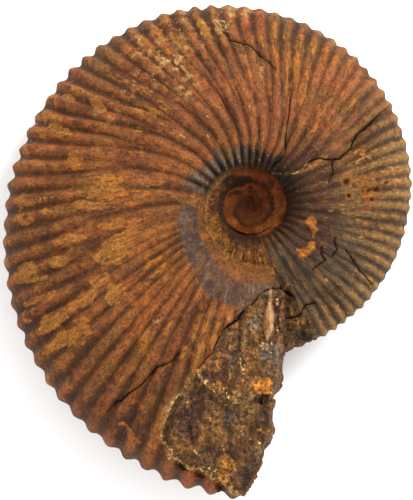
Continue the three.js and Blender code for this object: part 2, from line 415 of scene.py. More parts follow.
class Survey:
    """Where every point is on the shell: its whorl, its rib and its region."""

    def __init__(self, places):
        x, y, z = places.T
        whorls = growth_at(x, y)
        _, which, on_break = shell_distance(whorls, z)
        self.places = places
        self.last_whorl = which <= 1
        self.radius = whorls[0]["radius"]
        parts = ("angle", "half", "crest", "seam", "venter")
        nearest = (np.choose(which, [whorl[part] for whorl in whorls]) for part in parts)
        self.angle, self.half, crest, seam, venter = nearest
        sine = np.sin(WALL_TURN) * np.clip((crest - self.radius) / (crest - seam), 0, 1)
        outer = np.clip((self.radius - crest) / (venter - crest), 0, 1)
        self.across = np.where(self.radius > crest, outer, -np.arcsin(sine) / WALL_TURN)
        self.above_seam = self.radius - seam
        self.to_lap = grown(SEAM_RADIUS, self.angle + 360) - self.radius
        self.upper = rise(-1.5, 1.5, z)
        self.on_break = on_break.astype(float)
        self.rib = rib_angle(self.angle, self.across) + 0.3 * rough(places, 9, 2, 3)
        self.wave = rib_wave(self.rib, self.across)
        turned = np.radians(self.rib) * 45
        self.flow = np.stack((turned, self.radius, z * 0.5), axis=1)
        self.inside = -whorl_distance(whorls[0], z)
        self.seen = seen_from_above(places)
        self.seen_angle = near_angle(self.seen, self.angle)
        self.seen_radius = np.linalg.norm(self.seen, axis=1)
        self.ragged = rough(places, 3.5, 3, 5)
        side, along, _ = beside_path(self.seen + 0.5 * self.ragged[:, None], SPIRAL)
        self.spiral = bell(side, 0.65) * (along > 0) * (along < 1) * self.upper
        self.spiral *= rise(-0.9, 0.3, rough(places, 2.6, 2, 90))
        self.mark_regions()
        self.mark_cracks()

    def mark_regions(self):
        """Each region's share, 0 to 1, at every point."""
        self.outer = rise(*INNER_WHORLS_END, self.angle)
        older = (self.angle < 0) & (self.on_break == 0)
        self.mouth_lap = rise(-61, -67, self.angle + 5 * self.ragged) * older
        self.mouth_lap *= rise(19, 23, self.radius)
        top_last = self.upper * self.last_whorl
        self.bare_depth, self.step_depth = inside_bare(self.seen, self.seen_angle)
        self.bare = rise(-0.1, 0.2, self.bare_depth) * top_last * (self.seen_radius > 19)
        self.rim = rise(-1.4, 0, self.bare_depth) * rise(0.9, 0, self.bare_depth) * top_last
        inside = radius_on(BAND_OUTER, self.seen_angle) - self.seen_radius
        blur = 0.25 + 0.6 * rise(225, 250, self.seen_angle)
        band = rise(-blur, blur, inside + blur * 1.2 * self.ragged)
        from_inner_edge = self.seen_radius - radius_on(BAND_INNER, self.seen_angle)
        band *= rise(-0.6, 0.6, from_inner_edge + self.ragged)
        band *= rise(172, 180, self.seen_angle + 2 * self.ragged) * (1 - self.bare)
        self.band = band * top_last
        self.stone = np.maximum(np.maximum(self.bare, self.on_break), self.mouth_lap)

    def mark_cracks(self):
        """How far beside the nearest crack each point is, in half widths, and whether it is near."""
        count = len(self.places)
        self.crack_side, self.crack_near = np.full(count, 9.0), np.zeros(count)
        self.to_crack = np.zeros((count, 2))
        wander = np.stack([0.4 * rough(self.places, 2.0, 3, seed) for seed in (7, 8)], axis=1)
        nearest = np.full(count, np.inf)
        for width, path in CRACKS:
            side, along, left = beside_path(self.seen + wander, path)
            taper = np.clip(5 * np.minimum(along, 1.1 - along), 0, 1)
            taper = np.where((along <= 0) | (along >= 1), 0, taper)
            nearer = (np.abs(side) < nearest) & (self.upper > 0.5)
            nearest = np.where(nearer, np.abs(side), nearest)
            near = 1 - rise(0.5 * CRACK_REACH, CRACK_REACH, np.abs(side))
            near *= np.where(self.angle > 250, rise(-0.7, -0.4, self.across), 1)
            self.crack_side = np.where(nearer, side / (width * np.maximum(taper, 0.25)), self.crack_side)
            self.crack_near = np.where(nearer, near * (taper > 0), self.crack_near)
            self.to_crack = np.where(nearer[:, None], -side[:, None] * left, self.to_crack)


def rib_angle(angle, across):
    """The venter angle of the rib through each place: ribs lean forward on their way out."""
    rib = angle
    for _ in range(4):
        width = np.where(rib < LEAN_CENTRE, LEAN_BEFORE, LEAN_AFTER)
        lean = LEAN_EVERYWHERE + LEAN_MORE * bell(rib - LEAN_CENTRE, width)
        rib = angle + lean * (1 - np.sin(np.pi / 2 * np.clip(across, 0, 1) ** 1.08))
    return rib - 1.5 * np.clip(-across, 0, 1)


def rib_wave(rib, across):
    """0 in the grooves, 1 on the crests. Ribs start at the umbilicus, and more begin between them."""
    pair = rib / (2 * RIB_PITCH)
    number = np.round(pair)
    own = noise(np.stack((number * 3.7, 0 * number, 0 * number), axis=1), 11)
    begin = 0.42 + 0.16 * own
    between = np.maximum(rise(-0.2, 0.2, across - begin), rise(190, 215, rib))
    aside = np.abs(pair - number)
    primary = np.cos(np.pi / 2 * np.clip(aside / mix(0.5, 0.25, between), 0, 1)) ** 2
    secondary = np.cos(np.pi / 2 * np.clip((0.5 - aside) / 0.25, 0, 1)) ** 2 * between
    wave = np.maximum(primary, secondary)
    return wave ** mix(0.45, 1.0, rise(0.5, 0.95, across))


# ---- carving ----
# How high ribs stand round the coil, in mm.
RIB_ON_FLANK = (-90, 45, (0.45, 0.5, 0.55, 0.75, 1.1, 1.2, 1.05, 0.85, 0.6, 0.4, 0.3))
RIB_ON_VENTER = (-90, 45, (0.5, 0.55, 0.55, 0.6, 0.75, 1.05, 1.2, 1.2, 1.15, 0.9, 0.9))
CRACK_DEPTH = 1.1

# Pits in the flank: x, y and radius in mm.
PITS = (
    (25.5, 5.6, 0.7), (28.3, 4.4, 0.9), (31.2, 4.8, 0.6), (24.2, 3.2, 0.5), (30, 2.2, 0.5),
    (33.5, 6.4, 0.5), (23.6, 6.6, 0.8), (27.4, 7.4, 0.5),
)

# A string of ochre lumps on the right: (angle, radius) points.
CRUMBS = ((-8, 13.8), (-13, 15.2), (-20, 16.9), (-31, 17.6), (-42, 16.6), (-55, 16.1), (-70, 15.6))

# Smooth flat scabs of ochre: angle, radius, length outward, width.
SCABS = (
    (199, 35.5, 5, 2.4), (205, 41.5, 2.6, 1.6), (212.5, 39.5, 3.6, 2.6), (209, 46.5, 3.2, 2),
    (190, 46, 4.5, 1.2), (157.5, 51.5, 3.2, 1.2), (179, 40, 5.5, 1.2), (172, 36, 4, 1.4),
    (203, 57, 4.5, 1), (208.5, 56, 4.5, 1.1), (187, 34.5, 4.5, 1.1), (195.5, 49, 2.5, 1.4),
    (168, 54.5, 2, 1), (216, 52, 3.5, 1.2), (149, 53, 2, 1.1), (164, 45.5, 2.2, 1.6),
    (198, 56, 3, 0.9), (146, 46, 2.6, 1), (194.5, 58, 2.4, 0.9), (183, 56.5, 2.6, 1),
)


def patch(s, angle, radius, length, width, ragged=0.45):
    """A ragged blob on the upper side, longer outward from the coil than round it."""
    centre = np.radians(angle)
    out = np.array((np.cos(centre), np.sin(centre)))
    away = s.seen - radius * out
    u = away @ out / length
    v = away @ np.array((-out[1], out[0])) / width
    edge = np.hypot(u, v) + ragged * s.ragged
    return (1 - rise(0.8, 1.1, edge)) * s.upper


def spot(s, x, y, across, along, ragged=0.5):
    """A ragged blob on the upper side, by its middle and half sizes, in mm."""
    edge = np.hypot((s.seen[:, 0] - x) / across, (s.seen[:, 1] - y) / along) + ragged * s.ragged
    return (1 - rise(0.75, 1.1, edge)) * s.upper


def haze(s, angle, radius, spread, width):
    """A soft-edged area of the upper side: its middle, and its spread in degrees and mm."""
    away = ((s.seen_angle - angle) / spread) ** 2 + ((s.seen_radius - radius) / width) ** 2
    return np.exp(-away) * s.upper


def bone(s):
    """The pale splinter in the bare patch: narrow at its top, widest low down, and pointed."""
    down = (-19 - s.seen[:, 1]) / 13.8
    middle = 4.9 - 0.9 * np.clip(down, 0, 1)
    half = 0.35 + rise(0.2, 0.6, down) * (1 - rise(0.75, 1, down))
    aside = np.abs(s.seen[:, 0] - middle) + 0.3 * s.ragged
    share = rise(0, 0.35, half - aside) * rise(0, 0.06, down)
    return share * rise(1.03, 0.95, down) * s.upper


def rib_height(s):
    """How high the ribs stand at each point, in mm. They fade down the umbilical wall and in mid-flank."""
    height = mix(grown(RIB_ON_FLANK, s.rib), grown(RIB_ON_VENTER, s.rib), rise(0.5, 1, s.across))
    wall_end = -0.25 - 0.6 * rise(60, 90, s.rib) * (1 - rise(165, 180, s.rib))
    wall_end -= 0.5 * rise(20, 0, s.rib)
    height = height * rise(-0.2, 0.2, s.across - wall_end) * rise(-200, -110, s.angle)
    height = height * (0.9 + 0.6 * rough(s.flow, 8, 2, 21))
    mid_flank = rise(0.3, 0.45, s.across) * rise(0.92, 0.75, s.across)
    return height * (1 - 0.5 * mid_flank * rise(50, 75, s.rib) * rise(160, 130, s.rib))


def relief(s):
    """How far each point stands out of the smooth shell, in mm."""
    at = s.places
    scaly = patch(s, 118, 42, 13, 15, 0.6)
    height = rib_height(s) * (1 - 0.95 * s.band) * (1 - s.bare) * (1 - s.on_break) * (1 - 0.3 * scaly)
    out = height * (s.wave - 0.5)
    calm = 1 - 0.75 * s.band
    out += 0.14 * calm * rough(at, 4, 3, 31)
    out += 0.16 * calm * rough(s.flow / (1, 2.2, 1), 2, 3, 32)
    out += 0.05 * calm * noise(at / 0.8, 36)
    out -= 0.22 * calm * s.flakes
    out += 0.14 * s.crust * calm + 0.3 * scaly * rough(s.flow, 1.7, 3, 19)
    for blob in s.scabs:
        out += 0.2 * blob
    out += 0.4 * s.crumbs - 0.7 * s.pits + 0.3 * s.pit_rims
    out += 0.35 * haze(s, 12, 29, 14, 7) * rough(at, 1.8, 3, 13)
    out -= 0.3 * s.band * s.last_whorl + 0.45 * s.spiral
    return mix(out, bare_relief(s), s.stone) - crack_cut(s)


def crumb_share(s):
    """A string of lumps of ochre along the shoulder of the umbilicus."""
    side, along, _ = beside_path(s.seen + 0.5 * s.ragged[:, None], CRUMBS)
    ends = rise(0, 0.05, along) * rise(1, 0.97, along)
    lumps = bell(side, 1.4) * ends + 1.1 * rough(s.places, 2.2, 4, 97)
    return rise(0.68, 0.88, lumps) * ends * (np.abs(side) < 2.6) * s.upper


def bare_relief(s):
    """Torn stone in upright layers."""
    at = s.places
    layered = s.flow / (1, 3, 1)
    out = 0.5 * rough(at, 6, 3, 33) + 0.6 * rough(layered, 2.6, 4, 34) + 0.16 * noise(at / 0.8, 35)
    out += 1.5 * s.on_break * rough(at, 11, 2, 23)
    out += 0.6 * spot(s, 4.4, -43.8, 2.6, 2.4, 0.9) - spot(s, 3.6, -47.8, 2.2, 1.3, 0.9)
    out += 0.35 * rise(0, 0.08, rough(layered, 3.4, 2, 37)) - 0.2
    out -= 0.5 * rise(0.12, 0, np.abs(rough(layered, 4.5, 2, 38)))
    out += 0.5 * (s.wave - 0.5) * s.bare * rise(42, 46, s.seen_radius)
    return out + (1.5 * s.bone - 0.9 * spot(s, 8.2, -26, 1.6, 5)) * (1 - s.on_break)


def pits(s):
    """How deep each point is in a pit, and how much it is on a pit's crusted rim."""
    deep, rims = np.zeros((2, len(s.places)))
    for x, y, size in PITS:
        away = np.hypot(*(s.seen - (x, y)).T) / size + 0.8 * rough(s.places, 1.8, 3, 98)
        deep = np.maximum(deep, rise(1.1, 0.3, away) * s.upper)
        rims = np.maximum(rims, bell(away - 1.6, 0.5) * s.upper)
    return deep, rims


def crack_cut(s):
    """How deep the cracks are cut at each point, in mm."""
    return CRACK_DEPTH * s.crack_near * np.exp(-((s.crack_side * 0.55) ** 2))


def crust_share(s):
    """Ochre crust, in streaks along the crests of the ribs and in thin patches."""
    streak = rough(s.flow / (1, 3, 1), 2.4, 3, 41)
    area = rough(s.places, 11, 2, 42)
    share = rise(0.2, 0.75, 0.34 * s.wave + 0.6 * streak + 0.45 * area)
    return share * (1 - s.band) * (1 - s.bare) * (1 - s.on_break)


def flake_share(s):
    """Where a thin flake of the shell is gone."""
    area = rise(-0.3, 0.5, rough(s.places, 14, 2, 44))
    return rise(0.16, 0.24, rough(s.flow / (1, 1.8, 1), 3, 4, 43)) * area


# ---- paint ----
EXPOSURE = 0.60  # scales every paint to the studio's light


def paint_from(red, green, blue):
    """A colour as a screen shows it, in linear light."""
    shown = np.array((red, green, blue)) / 255
    return EXPOSURE * np.where(shown < 0.04045, shown / 12.92, ((shown + 0.055) / 1.055) ** 2.4)


RUST = paint_from(140, 90, 44)
TERRACOTTA = paint_from(160, 94, 50)
UMBER = paint_from(56, 32, 14)
PLUM = paint_from(82, 50, 36)
OCHRE = paint_from(172, 112, 42)
ORANGE = paint_from(180, 100, 34)
SLATE = paint_from(132, 116, 98)
DARK_SLATE = paint_from(44, 33, 20)
BLUE_GREY = paint_from(74, 66, 54)
OLIVE = paint_from(132, 102, 60)
TAN = paint_from(180, 132, 72)
BAND_GREY = paint_from(86, 66, 52)
CREAM = paint_from(188, 148, 92)
RED = paint_from(158, 80, 44)
MOSS = paint_from(126, 92, 48)
BONE = paint_from(198, 152, 106)
MATRIX = paint_from(112, 80, 46)
INNER_BROWN = paint_from(124, 56, 4)
# Near black: cracks, pits, and painted shadows in the earliest whorls.
NEAR_BLACK = paint_from(16, 9, 4)
# Dark grime, also laid on as painted shade in the grooves and in the umbilicus.
DIRT_AND_SHADE = paint_from(46, 27, 14)

# Stains on the bare patch: paint, share, x, y and half sizes in mm.
STAINS = (
    (PLUM * 0.6, 0.9, 7.6, -25.5, 2.4, 4.8),
    (SLATE * 0.8, 0.7, 0.9, -28.2, 1.7, 2.8),
    (SLATE * 0.6, 0.8, 4.6, -36, 2.4, 2.2),
    (mix(OCHRE, ORANGE, 0.4), 1, 4.4, -43.8, 3, 2.7),
    (DARK_SLATE, 0.9, 3.6, -47.6, 2.4, 1.9),
    (OCHRE, 0.8, -6.1, -63.6, 2.4, 3.4),
    (UMBER, 0.8, -0.6, -67.6, 2.6, 3),
    (RUST, 0.8, -9.5, -38.5, 3.5, 3),
    (PLUM * 0.8, 0.8, -15.5, -53.5, 2.6, 4.5),
)

# Pale worn places on the flank: angle, radius, length outward, width, and how much of them is pale.
WORN = (
    (112, 47, 8, 12, 0.5), (98, 49, 4, 7, 0.5), (118, 37, 6, 4, 0.5), (142, 41.5, 2.4, 2, 0.4),
    (86, 30, 5, 0.8, 0.5), (188.5, 41, 2.2, 2, 0.6), (228, 38, 5, 2, 0.4), (148, 43, 3, 1.5, 0.35),
    (60, 48, 3, 14, 0.35), (128, 42, 5, 8, 0.35),
)


class Coat:
    """The paint at every point: a base, and shares of crust, dark grime with painted shade, and pale dust
    with painted highlights, broken up over it.
    """

    def __init__(self, s):
        self.s = s
        count = len(s.places)
        self.base = np.tile(RUST, (count, 1))
        self.crust_tint = np.tile(OCHRE, (count, 1))
        self.crust = s.crust.copy()
        # Dark grime, and painted shade in the grooves and in the deep umbilicus.
        self.dirt_and_shade = np.zeros(count)
        # Pale dust and worn places, and also painted highlights and a painted reflection.
        self.pale = np.zeros(count)

    def cover(self, paint, share):
        """Lays paint over the base."""
        self.base = mix(self.base, paint, np.clip(share, 0, 1)[:, None])

    def tint_crust(self, paint, share):
        self.crust_tint = mix(self.crust_tint, paint, np.clip(share, 0, 1)[:, None])

    def clear(self, share):
        """Takes away what lies over the base."""
        self.crust = self.crust * (1 - share)
        self.dirt_and_shade = self.dirt_and_shade * (1 - share)
        self.pale = self.pale * (1 - share)

    def spots(self, size, low, high, seed):
        """Soft spots of a size in mm: 0 where noise is below low, 1 where it is above high."""
        return rise(low, high, rough(self.s.places, size, 3, seed))

    def streaks(self, size, length, low, high, seed):
        """Such spots drawn out along the ribs, by a factor."""
        return rise(low, high, rough(self.s.flow / (1, length, 1), size, 3, seed))


def paint_flank(c, s):
    """Rust, terracotta and plum in blotches and streaks, and grooves between the ribs darkened with grime
    and painted shade.
    """
    c.cover(TERRACOTTA, c.spots(13, -0.3, 0.5, 51))
    c.cover(MOSS, 0.6 * c.spots(9, 0.05, 0.5, 86))
    c.cover(PLUM, 0.75 * c.streaks(2.2, 3, 0.05, 0.4, 53))
    c.cover(PLUM, 0.85 * haze(s, 105, 29, 45, 8) * c.streaks(2.4, 3, -0.35, 0.25, 27))
    c.crust += 0.3 * haze(s, 108, 50, 24, 8) * c.streaks(3, 1, -0.5, 0.3, 14)
    c.cover(UMBER, 0.45 * haze(s, 225, 40, 22, 10) * c.streaks(3, 2, -0.5, 0.4, 22))
    c.cover(RED, 0.6 * c.streaks(2, 2.5, 0.1, 0.4, 87))
    c.cover(TERRACOTTA, 0.5 * c.streaks(2.2, 3.5, 0.1, 0.5, 57))
    c.cover(ORANGE * 0.6, 0.3 * rise(95, 150, s.angle))
    from_start = 0.5 + 0.5 * rise(-90, -70, s.angle)
    # The grooves are darkened partly with grime and partly with painted shade, more where the ribs stand
    # higher.
    groove = (1 - s.wave) ** 2 * rise(-0.9, 0.1, s.across) * from_start
    depth = rise(0.2, 1, mix(grown(RIB_ON_FLANK, s.rib), grown(RIB_ON_VENTER, s.rib), s.across))
    c.cover(UMBER, groove * (0.15 + 0.5 * depth) * (0.7 + 0.5 * rough(s.flow, 5, 2, 58)))
    c.dirt_and_shade += groove * (0.15 + 0.3 * depth) + 0.25 * c.spots(9, -0.2, 0.5, 60) + 0.14
    c.dirt_and_shade += 0.25 * s.flakes
    c.cover(ORANGE, 0.55 * c.spots(1.6, 0.3, 0.5, 16) * rise(60, 90, s.angle))
    c.tint_crust(ORANGE, 0.8 * c.spots(6, -0.1, 0.4, 62))
    c.tint_crust(TERRACOTTA, 0.8 * c.spots(5, 0, 0.4, 76))


def paint_scabs_wear_and_highlights(c, s):
    """Ochre scabs, pale flaky places, and painted highlights on the rib crests by the umbilicus and on the
    venter.
    """
    for blob in s.scabs:
        c.crust = np.maximum(c.crust, 0.95 * blob)
        c.tint_crust(mix(OCHRE, RUST, 0.4), 0.8 * blob)
        c.dirt_and_shade *= 1 - 0.8 * blob
    for angle, radius, length, width, share in WORN:
        worn = patch(s, angle, radius, length, width, 0.9)
        flaky = worn * c.streaks(1.5, 0.8, 0, 0.3, 89)
        c.cover(TAN, 1.6 * share * flaky)
        c.pale += 0.45 * share * flaky
    by_umbilicus = rise(34, 24, s.radius) * rise(40, 70, s.angle)
    by_umbilicus *= rise(175, 150, s.angle)
    # Painted reflection: paler along the venter. Painted highlights: thin pale lines on the rib crests by
    # the umbilicus.
    c.pale += 0.1 * rise(0.86, 1, s.across) + 0.2 * by_umbilicus * s.wave**8
    c.cover(TERRACOTTA, 0.3 * by_umbilicus * s.wave)
    c.crust *= 1 - 0.5 * by_umbilicus


def paint_right_side(c, s):
    """Duller stone on the right, grey-blue in the grooves towards the mouth's lap."""
    round_venter = rise(-16, 4, s.places[:, 2] + 9 * rough(s.places, 9, 3, 85))
    dull = rise(46, 16, s.angle + 9 * rough(s.places, 9, 2, 54)) * s.outer * round_venter
    grey = rise(10, -30, s.angle + 14 * rough(s.places, 7, 2, 55)) * rise(-82, -66, s.angle)
    grey *= round_venter
    c.cover(OLIVE, 0.75 * dull)
    by_wall = rise(27, 19, s.radius + 3 * rough(s.places, 6, 2, 95))
    by_wall = by_wall * rise(62, 40, s.angle) * s.outer
    c.crust = mix(c.crust, 0.25 + 0.2 * s.wave, 0.8 * dull)
    c.cover(BLUE_GREY, 0.8 * grey * c.streaks(2.6, 2, -0.6, 0.1, 56))
    c.cover(BLUE_GREY, 0.4 * (1 - s.wave) * dull)
    c.tint_crust(mix(TAN, OCHRE, 0.4), 0.7 * dull)
    c.tint_crust(RUST, 0.7 * dull * c.spots(4, 0, 0.4, 82))
    c.crust *= 1 - 0.5 * grey * (1 - rise(0.6, 0.9, s.across))
    near_venter = rise(0.6, 0.95, s.across)
    c.cover(TAN, 0.75 * dull * near_venter * s.wave)
    c.cover(PLUM, 0.8 * by_wall * rise(-74, -30, s.angle) * round_venter)
    c.crust *= 1 - 0.4 * by_wall
    # Grooves by the wall and on the duller stone are darkened, partly with grime and partly with painted
    # shade.
    groove = (1 - s.wave) ** 1.5 * rise(-0.7, 0, s.across) * (1 - 0.5 * near_venter)
    c.cover(UMBER, 0.75 * groove * np.maximum(by_wall, 0.6 * dull))


def paint_wall(c, s):
    """The dark slate wall of the umbilicus, with painted shade and painted highlights, and its reddish foot
    on the right.
    """
    lean = s.across + 0.22 * rough(s.flow / (1, 3, 1), 2.5, 2, 63)
    wall = rise(-0.15, -0.45, lean) * s.outer
    wall *= rise(2, 22, s.angle) * rise(178, 160, s.angle)
    # Dark slate, partly the wall's own colour and partly painted shade; the lighter crests are partly a
    # painted highlight.
    c.cover(DARK_SLATE, 0.95 * wall)
    c.cover(SLATE, 0.85 * wall * s.wave**1.5)
    c.crust *= 1 - 0.8 * wall
    # Painted shade: darkest on the wall's upper right, which faces away from the key lamp, and deep down
    # the wall.
    darkest = wall * np.maximum(rise(108, 80, s.angle), rise(-0.55, -0.85, lean))
    c.cover(DARK_SLATE, darkest * (0.9 - 0.35 * s.wave))
    c.dirt_and_shade += 0.1 * wall + 0.2 * darkest
    # Painted highlights: thin pale glints on the crests.
    c.pale += 0.16 * wall * s.wave**4
    c.cover(RUST * 0.8, 0.6 * wall * c.spots(3, 0.15, 0.45, 26))
    c.crust += 0.22 * darkest * c.spots(3, -0.2, 0.3, 83)
    c.tint_crust(RUST * 0.8, wall)
    low_wall = rise(-0.05, -0.3, lean) * rise(26, 6, s.angle) * s.outer
    c.crust *= 1 - 0.7 * low_wall
    c.cover(PLUM * 0.5, 0.85 * low_wall)
    c.cover(RUST * 0.8, 0.6 * low_wall * s.wave**2)
    c.dirt_and_shade += 0.3 * low_wall * (1 - 0.6 * s.wave)


def paint_inner_whorls(c, s):
    """The rust-brown disc of the earliest whorls, and the ochre lap round it, both with painted light and
    shade.
    """
    inside = 1 - s.outer
    c.clear(0.8 * inside)
    c.cover(INNER_BROWN, inside)
    # Painted light: the lower right of the disc is lighter orange. Painted shade: more dark specks on the
    # upper left.
    lit = rise(-0.6, 0.8, np.sin(np.radians(s.angle + 150)))
    painted_light = inside * (0.3 + 0.5 * lit) * c.spots(2, -0.3, 0.4, 77)
    c.cover(ORANGE * 0.7, painted_light * rise(2, 5, s.radius))
    c.cover(NEAR_BLACK, 0.75 * inside * c.spots(1.7, 0.1, 0.4, 88) * (1 - 0.8 * lit))
    # Painted shade over the inner whorls, deepest near the axis.
    c.dirt_and_shade += inside * (0.3 + 0.2 * rise(5, 2, s.radius))
    lap = inside * rise(-260, -180, s.angle) * rise(-0.62, -0.4, s.across)
    # The ochre of the lap is darkened as painted shade.
    c.cover(OCHRE * 0.5, 0.9 * lap)
    c.crust = np.maximum(c.crust, 0.45 * lap)
    c.dirt_and_shade += lap * (0.1 + 0.5 * c.spots(1.2, 0, 0.4, 18))
    # Painted shadows: along the spiral groove, and a dark patch on the upper left of the disc.
    c.cover(NEAR_BLACK, 0.5 * s.spiral)
    c.dirt_and_shade += 0.15 * s.spiral
    c.cover(NEAR_BLACK, 0.85 * inside * spot(s, -4.4, 6.3, 3.4, 2.4, 0.9))
    foot = inside * rise(-0.3, -0.6, s.across + 0.25 * rough(s.places, 2.5, 2, 67))
    c.cover(DARK_SLATE, 0.85 * foot * rise(-330, -260, s.angle))
    c.crust *= 1 - 0.8 * foot


def paint_seams(c, s):
    """Pale crust along the seams, darker rust as painted shade on the wall, and the string of ochre lumps.
    """
    seam_line = bell(s.above_seam, 0.4) * rise(85, 110, s.angle) * s.outer
    lap_line = bell(s.to_lap, 0.5) * (1 - s.outer) * rise(-250, -225, s.angle)
    for line in (seam_line, lap_line):
        c.cover(CREAM * 0.75, 0.8 * line)
        c.crust = np.maximum(c.crust, 0.7 * line)
        c.dirt_and_shade *= 1 - 0.7 * line
    # Painted shade: darker rust low on the wall, from the left round to the mouth.
    shaded = rise(0, -0.5, s.across) * s.outer * rise(165, 185, s.angle)
    c.cover(RUST * 0.8, 0.6 * shaded * (1 - s.band))
    c.crust *= 1 - s.crumbs
    c.cover(mix(OCHRE, ORANGE, 0.5), s.crumbs)
    c.cover(RUST, 0.6 * s.crumbs * c.spots(1.5, 0, 0.4, 68))
    c.dirt_and_shade *= 1 - 0.4 * s.crumbs


def paint_band(c, s):
    """The smooth grey band by the umbilicus."""
    c.clear(0.85 * s.band)
    gaps = 0.35 * rise(235, 262, s.angle) * c.spots(4, -0.4, 0.3, 93)
    c.cover(BAND_GREY, s.band * (0.95 - gaps))
    c.cover(PLUM, 0.8 * s.band * c.streaks(0.9, 5, -0.1, 0.4, 69))
    c.cover(SLATE, 0.6 * s.band * c.streaks(1.1, 5, 0.1, 0.5, 94))
    c.cover(RUST * 0.8, 0.6 * s.band * c.spots(3, 0.1, 0.4, 78))
    c.dirt_and_shade += 0.25 * s.band


def paint_torn_stone(c, s):
    """Torn stone, and the shell's own thickness as a rim round the broken face."""
    stone = s.stone
    c.clear(stone)
    c.cover(MATRIX, stone)
    c.cover(UMBER, 0.7 * stone * c.streaks(2, 3, 0, 0.5, 71))
    c.cover(RUST, 0.6 * stone * c.spots(5, -0.2, 0.4, 72))
    c.cover(PLUM, 0.55 * s.bare * c.spots(7, -0.1, 0.4, 15))
    c.cover(OCHRE, 0.6 * s.on_break * c.spots(9, 0.1, 0.5, 24))
    c.cover(PLUM, 0.7 * s.on_break * c.spots(12, 0, 0.4, 25))
    c.cover(BLUE_GREY * 1.3, 0.6 * stone * c.streaks(2.6, 3, 0.15, 0.5, 73))
    shell = s.on_break * rise(1.5, 1, s.inside + 0.5 * s.ragged)
    c.cover(RUST, 0.7 * shell)
    c.cover(NEAR_BLACK, 0.7 * s.on_break * bell(s.inside + 0.5 * s.ragged - 1.5, 0.3))
    c.tint_crust(OCHRE * 0.8, stone)
    c.cover(UMBER, 0.6 * s.mouth_lap * c.spots(3, -0.3, 0.3, 29))
    c.crust += 0.3 * stone * c.spots(5, -0.4, 0.4, 79)
    c.dirt_and_shade += stone * (0.25 + 0.3 * c.streaks(1.6, 3, 0, 0.5, 80))
    c.pale += 0.16 * stone * c.spots(3, -0.2, 0.5, 74)


def paint_bare_patch(c, s):
    """The bare patch's stains, the pale shell edges round it, and the splinter."""
    top = s.bare * (1 - s.on_break)
    for paint, share, x, y, across, along in STAINS:
        mark = spot(s, x, y, across, along, 0.8) * top
        c.cover(paint, share * mark)
        c.crust *= 1 - 0.7 * mark
        c.dirt_and_shade *= 1 - 0.5 * mark
    c.pale += 0.3 * top * spot(s, -2.2, -38.5, 0.9, 3.6)
    c.pale += 0.25 * top * (spot(s, 3, -33.5, 2.2, 1.6) + spot(s, 7.6, -25.5, 2.2, 4.4))
    shell_edge = s.rim * rise(41, 45, s.seen_radius) * (1 - s.on_break)
    step_edge = bell(s.step_depth, 0.8) * top * (s.seen_angle < STEP_LIP_END - 1)
    edges = np.maximum(shell_edge, 0.8 * step_edge)
    c.cover(TAN, 0.5 * edges)
    c.pale += 0.4 * edges
    near_edge = rise(5, 0, s.bare_depth) * top * rise(52, 58, s.seen_radius)
    c.pale += 0.2 * near_edge
    c.clear(s.bone)
    c.cover(BONE, s.bone)
    c.cover(RUST, 0.8 * s.bone * c.streaks(1.3, 4, -0.1, 0.4, 81))
    c.dirt_and_shade += 0.2 * s.bone


def paint_pits(c, s):
    """Dark pits with ochre rims, and orange specks round them."""
    c.cover(mix(OCHRE, ORANGE, 0.5), 0.8 * s.pit_rims * c.spots(2, -0.5, 0.1, 99))
    c.cover(NEAR_BLACK, 0.6 * s.pits)
    c.cover(ORANGE, 0.7 * haze(s, 12, 28, 14, 6) * c.spots(1.8, 0.15, 0.35, 12))


def paint_veins(c, s):
    for path in VEINS:
        side, along, _ = beside_path(s.seen + 0.4 * s.ragged[:, None], path)
        line = bell(side, 0.25) * (along > 0) * (along < 1) * s.upper
        c.cover(TAN, 0.5 * line)
        c.pale += 0.3 * line


# Each later paint lies over the earlier ones.
PAINTERS = (
    paint_flank, paint_scabs_wear_and_highlights, paint_right_side, paint_wall, paint_inner_whorls, paint_seams,
    paint_band, paint_torn_stone, paint_bare_patch, paint_pits, paint_veins,
)


# ---- building the piece ----
def add_object(name, data):
    made = bpy.data.objects.new(name, data)
    bpy.context.collection.objects.link(made)
    return made


def add_values(mesh, name, values, kind="FLOAT"):
    """A named value for the material at every point."""
    layer = mesh.attributes.new(name, kind, "POINT")
    if kind == "FLOAT_COLOR":
        values = np.hstack((values, np.ones((len(values), 1))))
    field = {"FLOAT": "value", "FLOAT_VECTOR": "vector", "FLOAT_COLOR": "color"}[kind]
    layer.data.foreach_set(field, np.ascontiguousarray(values, np.float32).ravel())


UV_SPAN = 286.0  # mm of the surface across the whole map
UV_UPPER, UV_LOWER, UV_FACE = (81, 97), (190, 97), (60, 225)  # the islands' origins, in mm
VENTER_SPREAD = 0.62  # how far the venter's height is spread out round the flank


def lay_out(mesh, s, quads, carved):
    """A UV map for baking: the upper side, the lower side and the broken face, each unrolled to scale."""
    spread = VENTER_SPREAD * np.maximum(s.half - np.abs(s.places[:, 2]), 0) * (s.across > 0)
    flat = carved[:, :2] * (1 + spread / np.maximum(s.radius, 1))[:, None]
    upper, lower = flat + UV_UPPER, flat * (-1, 1) + UV_LOWER
    face = np.column_stack((s.radius, carved[:, 2])) + UV_FACE
    on_face = s.on_break[quads].mean(axis=1) > 0.5
    above = s.places[quads, 2].mean(axis=1) > 0
    corners = np.where(above[:, None, None], upper[quads], lower[quads])
    corners = np.where(on_face[:, None, None], face[quads], corners)
    layer = mesh.uv_layers.new(name="OFBake")
    layer.data.foreach_set("uv", (corners / UV_SPAN).astype(np.float32).ravel())


